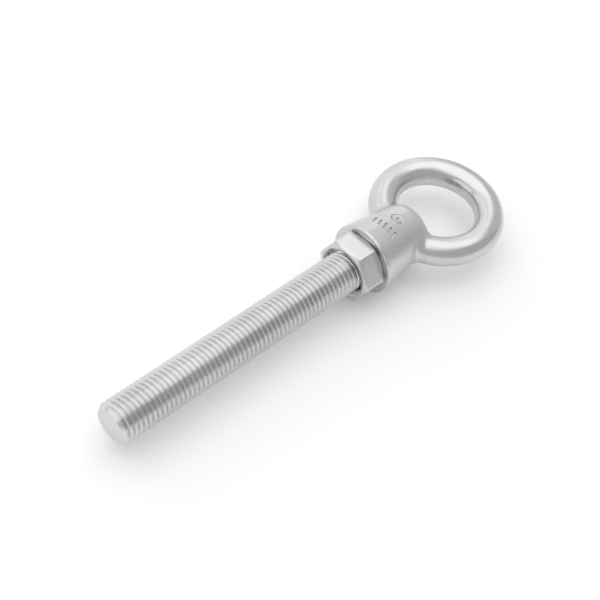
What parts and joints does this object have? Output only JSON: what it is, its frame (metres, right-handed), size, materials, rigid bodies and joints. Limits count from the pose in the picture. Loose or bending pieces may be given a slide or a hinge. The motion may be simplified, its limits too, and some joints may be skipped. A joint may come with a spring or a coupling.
{
  "type": "eye bolt",
  "caption": "Lifting eye bolt: a forged ring on a tapered tapped collar, locked by a thin hexagon nut on a long fully threaded stud.",
  "frame": {"origin": "middle of the lock nut's free face, on the stud's axis", "axes": "+X along the stud's axis, from the stud towards the ring; +Z square to the ring's plane, up as the bolt lies flat"},
  "size_m": [0.1856, 0.0528, 0.028],
  "materials": {
    "stud_steel": "rolled thread, bright stainless steel",
    "nut_steel": "machined stainless steel",
    "eye_steel": "forged stainless steel, ring polished, collar satin"
  },
  "bodies": {
    "stud": {"stud": "stud_steel"},
    "lock_nut": {"lock_nut": "nut_steel"},
    "eye": {"eye": "eye_steel"}
  },
  "joints": [
    {"name": "nut_travel", "type": "slide", "parent": "stud", "child": "lock_nut", "axis": [-1, 0, 0], "range_m": [0, 0.108]},
    {"name": "eye_turn", "type": "hinge", "parent": "stud", "child": "eye", "pos_m": [0.01, 0, 0], "axis": [1, 0, 0], "range_deg": [-180, 180]}
  ]
}
